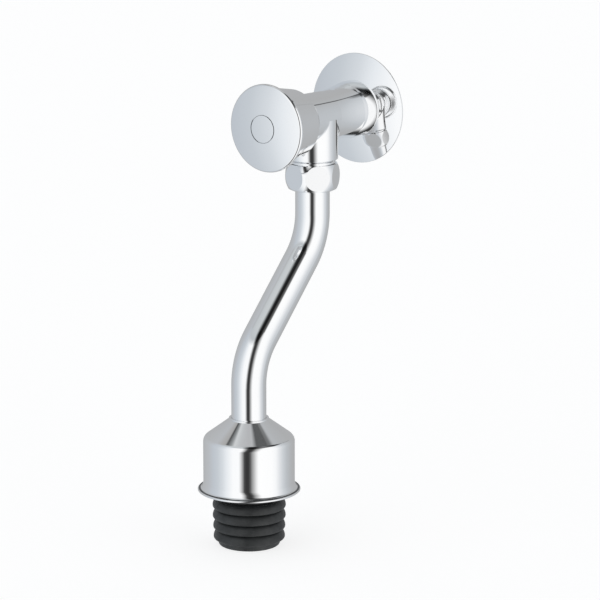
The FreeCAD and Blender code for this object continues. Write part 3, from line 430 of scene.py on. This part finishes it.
def roundCorner(piece, before, corner, after, radius, segments):
    # the corner's point is bevelled until the round has this radius
    bend = (corner - before).angle(after - corner)
    mesh = bmesh.from_edit_mesh(piece.data)
    for point in mesh.verts:
        point.select = (point.co - corner).length < weld["pick"]
    mesh.select_flush_mode()
    bmesh.update_edit_mesh(piece.data)
    bpy.ops.mesh.bevel(offset=radius * math.tan(bend / 2), segments=segments, affect="VERTICES")


def turnedPiece(name, corners, centre, axis, steps, roundSteps=8, closed=True):
    # corners: (radius, place along the axis, and the round there if it has one), spun once round the axis
    points = [centre + Vector((corner[0], 0, 0)) + axis * corner[1] for corner in corners]
    piece = drawLine(name, points + points[:1] if closed else points)
    bpy.ops.mesh.select_all(action="SELECT")
    bpy.ops.mesh.remove_doubles(threshold=weld["line"])
    for k, corner in enumerate(corners):
        if len(corner) > 2:
            after = points[(k + 1) % len(points)]
            roundCorner(piece, points[k - 1], points[k], after, corner[2], roundSteps)
    bpy.ops.mesh.select_all(action="SELECT")
    bpy.ops.mesh.spin(steps=steps, angle=2 * math.pi, center=centre, axis=axis)
    bpy.ops.mesh.select_all(action="SELECT")
    bpy.ops.mesh.remove_doubles(threshold=weld["turn"])
    bpy.ops.mesh.normals_make_consistent(inside=False)
    leaveMesh()
    return piece


def dress(piece, finish, node, body, angle=30):
    activate(piece)
    bpy.ops.object.shade_smooth_by_angle(angle=math.radians(angle))
    addModifier(piece, "WEIGHTED_NORMAL", keep_sharp=True)
    piece.data.materials.clear()
    piece.data.materials.append(finishes[finish])
    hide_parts(node)
    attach(piece, body)


def makeSpring():
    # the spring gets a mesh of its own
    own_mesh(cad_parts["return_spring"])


makeSpring()

nipple = {
    "pitch": 1.814 * mm,    # G 1/2
    "crest": 10.48 * mm,
    "root": 9.32 * mm,
    "flat": 0.12,           # share of the pitch that the crest and the root keep level
    "bore": 7.0 * mm,
    "chamfer": 1.0 * mm,
    "clear": 0.02 * mm,     # the blank stands this far outside the crests
    "steps": 72,
    "spare": 2.0 * mm,      # thread beyond each end, cut off again
}


def threadedRod(n, start, end):
    # one pitch of the outline goes round and along the Y axis
    p, flat = n["pitch"], n["flat"]
    first = start - n["spare"] - p
    outline = [(n["root"], first), (n["root"], first + flat * p), (n["crest"], first + 0.5 * p),
               (n["crest"], first + (0.5 + flat) * p), (n["root"], first + p)]
    rod = drawLine("rod", [Vector((radius, along, 0)) for radius, along in outline])
    leaveMesh()
    turns = math.ceil((end - start + 2 * n["spare"] + p) / p)
    addModifier(rod, "SCREW", axis="Y", angle=2 * math.pi, screw_offset=p, iterations=turns, steps=n["steps"],
                render_steps=n["steps"], use_normal_calculate=True)
    selectMesh()
    bpy.ops.mesh.remove_doubles(threshold=weld["thread"])
    for place, above in ((start - n["spare"], False), (end + n["spare"], True)):
        bpy.ops.mesh.select_all(action="SELECT")
        bpy.ops.mesh.bisect(plane_co=(0, place, 0), plane_no=(0, 1, 0), use_fill=True, clear_inner=not above,
                            clear_outer=above)
    bpy.ops.mesh.select_all(action="SELECT")
    bpy.ops.mesh.normals_make_consistent(inside=False)
    leaveMesh()
    return rod


def makeNipple(n):
    low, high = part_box("inlet_nipple")
    start, end = low.y, high.y
    rod = threadedRod(n, start, end)
    over, chamfer = n["crest"] + n["clear"], n["chamfer"]
    blank = turnedPiece("inlet_thread", [
        (n["bore"], -start), (over - chamfer, -start), (over, -start - chamfer), (over, -end + chamfer),
        (over - chamfer, -end), (n["bore"], -end)], origin, out, n["steps"])
    addModifier(blank, "BOOLEAN", operation="INTERSECT", object=rod, solver="EXACT")
    bpy.data.objects.remove(rod)
    dress(blank, "brass", "inlet_nipple", "valve")


makeNipple(nipple)
print("inlet thread cut")

flange = {
    "hole": 10.78 * mm,
    "seat": 16.1 * mm,      # the casting's foot covers the plate as far as this
    "radius": 30.7 * mm,
    "edge": 0.5 * mm,       # height of the plate's rim
    "dome": 97.0 * mm,      # radius that the face is domed to
    "sheet": 0.8 * mm,
    "rim": 0.25 * mm,       # the rim's small round
    # share of the dome's radius that has room between its corners, before and behind
    "faceShare": 0.965,
    "backShare": 0.955,
    "backIn": 0.1,          # share of the sheet that the back's corner stands further in
    "steps": 160,
    "domeSteps": 24,
}


def makeFlange(f):
    face = -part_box("wall_flange")[0].y      # the seat's distance out from the wall
    back = face - f["sheet"]
    start, stop = math.asin(f["seat"] / f["dome"]), math.asin(f["radius"] / f["dome"])
    reach = f["dome"] * math.tan((stop - start) / 2)
    across, along = f["seat"] + reach * math.cos(start), face - reach * math.sin(start)
    plate = turnedPiece("domed_flange", [
        (f["hole"], face), (f["seat"], face), (across, along, f["faceShare"] * f["dome"]),
        (f["radius"], f["edge"], f["rim"]), (f["radius"], 0), (f["radius"] - f["sheet"], 0),
        (across - f["backIn"] * f["sheet"], along - f["sheet"], f["backShare"] * f["dome"]),
        (f["seat"], back), (f["hole"], back)], origin, out, f["steps"], f["domeSteps"])
    dress(plate, "chrome", "wall_flange", "valve")


makeFlange(flange)
print("flange domed")

cover = {
    "hole": 9.56 * mm,
    "lip": 10.85 * mm,      # the turned lip round the pipe
    "lipHeight": 0.6 * mm,
    "lipRounds": (0.2 * mm, 0.15 * mm),     # above and below
    "fold": (0.35 * mm, 0.25 * mm),         # how far the lip turns in, and the cone's start from it
    "foldHeight": 0.1 * mm,
    "radius": 24.9 * mm,
    "coneHeight": 10.65 * mm,
    "shoulder": 3.6 * mm,
    "wall": 1.0 * mm,
    "bead": 0.57 * mm,      # the rolled edge
    "beadLift": 0.2 * mm,   # over the cover's foot
    # out from the side, up from the edge's middle, and the round there
    "flare": (0.0, 3.9 * mm, 5.0 * mm),
    "brim": (0.95 * mm, 1.15 * mm, 1.5 * mm),
    "innerBrim": (0.2 * mm, 0.75 * mm, 1.2 * mm),
    "innerFlare": (-1.0 * mm, 3.6 * mm, 3.0 * mm),
    # in from the brim, up from the edge's middle, and the round there, as shares of the bead
    "roll": [(0.0, 1.0, 0.97), (0.0, -1.0, 0.97), (2.0, -1.0, 0.9)],
    "groove": [(1.05, 0.72), (0.95, 1.0)],  # the fold behind the bead
    "grooveRound": 0.1 * mm,
    "rollEnd": 0.1 * mm,
    "innerShoulder": (0.4 * mm, 2.6 * mm),  # down from the shoulder, and its round
    "innerTop": 1.0 * mm,
    "paintedShadeBand": (2.2, 0.9),  # where the painted shade in the fold runs: in from the brim, as shares of the bead
    "paintedShadeUp": (0.5, 0.3),    # painted shade: share of the bead, and how far the face looks up
    "steps": 192,
    "roundSteps": 10,
}


def makeCover(c):
    low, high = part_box("pipe_cover")
    centre = Vector((0, (low.y + high.y) / 2, 0))
    top, brim, side, bead = high.z, (high.x - low.x) / 2, c["radius"], c["bead"]
    middle = low.z + bead + c["beadLift"]
    under = top - c["lipHeight"]
    cone = under - c["foldHeight"]
    shoulder = cone - c["coneHeight"]

    def fromSide(key):
        outward, upward, rounding = c[key]
        return side + outward, middle + upward, rounding

    shell = turnedPiece("spun_cover", [
        (c["hole"], top), (c["lip"], top, c["lipRounds"][0]), (c["lip"], under, c["lipRounds"][1]),
        (c["lip"] - c["fold"][0], under), (c["lip"] - c["fold"][1], cone), (side, shoulder, c["shoulder"]),
        fromSide("flare"), fromSide("brim"),
        *[(brim - inward * bead, middle + upward * bead, c["grooveRound"]) for inward, upward in c["groove"]],
        *[(brim - inward * bead, middle + upward * bead, rounding * bead)
          for inward, upward, rounding in c["roll"]],
        (brim - 2 * bead, middle + c["rollEnd"]), fromSide("innerBrim"), fromSide("innerFlare"),
        (side - c["wall"], shoulder - c["innerShoulder"][0], c["innerShoulder"][1]),
        (c["hole"], cone - c["innerTop"])], centre, up, c["steps"], c["roundSteps"])
    dress(shell, "chrome", "pipe_cover", "cover", 40)
    # the faces in the fold behind the bead get painted shade, a dark line standing in for the shadow there
    shell.data.materials.append(creaseShade)
    inner, outer = (brim - share * bead for share in c["paintedShadeBand"])
    for face in shell.data.polygons:
        reach = (face.center - centre).xy.length
        above = face.center.z > middle + c["paintedShadeUp"][0] * bead
        if inner < reach < outer and above and face.normal.z > c["paintedShadeUp"][1]:
            face.material_index = 1


makeCover(cover)
print("cover spun")

index = {
    "dome": 95.0 * mm,      # the button's own dome
    "domeShare": 0.96,      # share of its radius that has room between the corners
    "groove": 0.2 * mm,     # width of the fine groove round the disc
    "depth": 0.12 * mm,
    "edge": 0.05 * mm,
    "paintedShadeIn": 0.3,       # share of the edge's round that gets painted shade
    "paintedShadeDown": 0.01 * mm,
    "steps": 128,
    "domeSteps": 12,
}


def makeIndex(n):
    low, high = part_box("index_disc")
    top, back, edge = -low.y, -high.y, high.x
    cap = edge - n["groove"]
    slope = math.asin(cap / n["dome"])
    height = top - n["dome"] * (1 - math.cos(slope))
    floorAt = height - n["depth"]
    disc = turnedPiece("index_disc_cap", [
        (0, back), (edge, back), (edge, floorAt), (cap, floorAt), (cap, height, n["edge"]),
        (n["dome"] * math.tan(slope / 2), top, n["domeShare"] * n["dome"]), (0, top)],
        origin, out, n["steps"], n["domeSteps"], closed=False)
    dress(disc, "chrome", "index_disc", "button", 40)
    # the faces round the disc's edge get painted shade, a dark ring standing in for the shadow in the gap
    disc.data.materials.append(creaseShade)
    for face in disc.data.polygons:
        reach = math.hypot(face.center.x, face.center.z)
        if reach > cap - n["paintedShadeIn"] * n["edge"] and -face.center.y > floorAt - n["paintedShadeDown"]:
            face.material_index = 1


makeIndex(index)
print("index disc set")

connector = {
    "bore": 9.53 * mm,
    "stop": 8.5 * mm,
    "stopHeight": 222.55 * mm,  # below the barrel's axis, where the pipe's end stands
    "stopRound": 0.3 * mm,
    "sleeve": 14.5 * mm,
    "sleeveRound": 0.9 * mm,
    "neck": 200.3 * mm,
    "neckRise": 1.2 * mm,   # the sleeve ends this far above the neck
    "neckRounds": (0.6 * mm, 0.5 * mm),
    "root": 16.5 * mm,
    "crests": (20.0 * mm, 19.92 * mm, 19.7 * mm, 19.5 * mm),
    "first": 205.5 * mm,    # the first rib's widest place below the barrel's axis
    "pitch": 5.85 * mm,
    "gap": 0.02 * mm,       # keeps a rib's start off the end of the last
    "nose": 1.35 * mm,
    "noseShare": 0.97,      # shares of the radii that have room between the corners
    "swellShare": 0.98,
    "tip": 16.6 * mm,
    "tipStart": (0.5 * mm, 0.3 * mm, 0.2 * mm),     # out, down from the last rib, and the round there
    "tipRound": 1.0 * mm,
    "foot": 0.4 * mm,       # the tip ends this far above the node's lowest place
    "steps": 144,
    "roundSteps": 9,
}


def makeConnector(c):
    low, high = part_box("rubber_connector")
    centre = Vector((0, (low.y + high.y) / 2, 0))
    root, nose, rise = c["root"], c["nose"], c["pitch"] - c["nose"]
    corners = [(c["bore"], high.z), (c["sleeve"], high.z, c["sleeveRound"]),
               (c["sleeve"], -c["neck"] + c["neckRise"], c["neckRounds"][0]),
               (root, -c["neck"], c["neckRounds"][1])]
    for number, crest in enumerate(c["crests"]):
        # a rib swells slowly from its root and turns in sharply at its nose
        place = -c["first"] - number * c["pitch"]
        swell = ((crest - root) ** 2 + rise ** 2) / (2 * (crest - root))
        reach = swell * math.tan(math.asin(rise / swell) / 2)
        corners += [(root, place + rise - c["gap"]), (crest, place + reach, c["swellShare"] * swell),
                    (crest, place - nose, c["noseShare"] * nose), (root, place - nose)]
    outward, down, rounding = c["tipStart"]
    foot = low.z + c["foot"]
    corners += [(c["tip"] + outward, corners[-1][1] - down, rounding), (c["tip"], foot, c["tipRound"]),
                (c["stop"], foot, c["stopRound"]), (c["stop"], -c["stopHeight"]),
                (c["bore"], -c["stopHeight"])]
    plug = turnedPiece("ribbed_connector", corners, centre, up, c["steps"], c["roundSteps"])
    dress(plug, "black_rubber", "rubber_connector", "pipe", 50)


makeConnector(connector)
print("connector moulded")

floor = {
    "width": 14.0,
    "cuts": 4,
    "shade": (0.42, 0.42, 0.42),
    "roughness": 0.9,
    "glow": 0.78,
}


def makeFloor(f):
    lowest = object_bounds()[0]
    bpy.ops.mesh.primitive_plane_add(size=f["width"], location=(0, 0, lowest.z))
    ground = bpy.context.object
    ground.name = "floor"
    selectMesh()
    bpy.ops.mesh.subdivide(number_cuts=f["cuts"])
    leaveMesh()
    bpy.ops.object.transform_apply(location=True, rotation=False, scale=True)
    material = newMaterial("paleFloor", f["shade"], roughness=f["roughness"], Specular_IOR_Level=0.0,
                           Emission_Color=(1, 1, 1, 1), Emission_Strength=f["glow"])
    ground.data.materials.append(material[0])
    ground.visible_glossy = False
    ground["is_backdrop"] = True


makeFloor(floor)
print("floor laid")
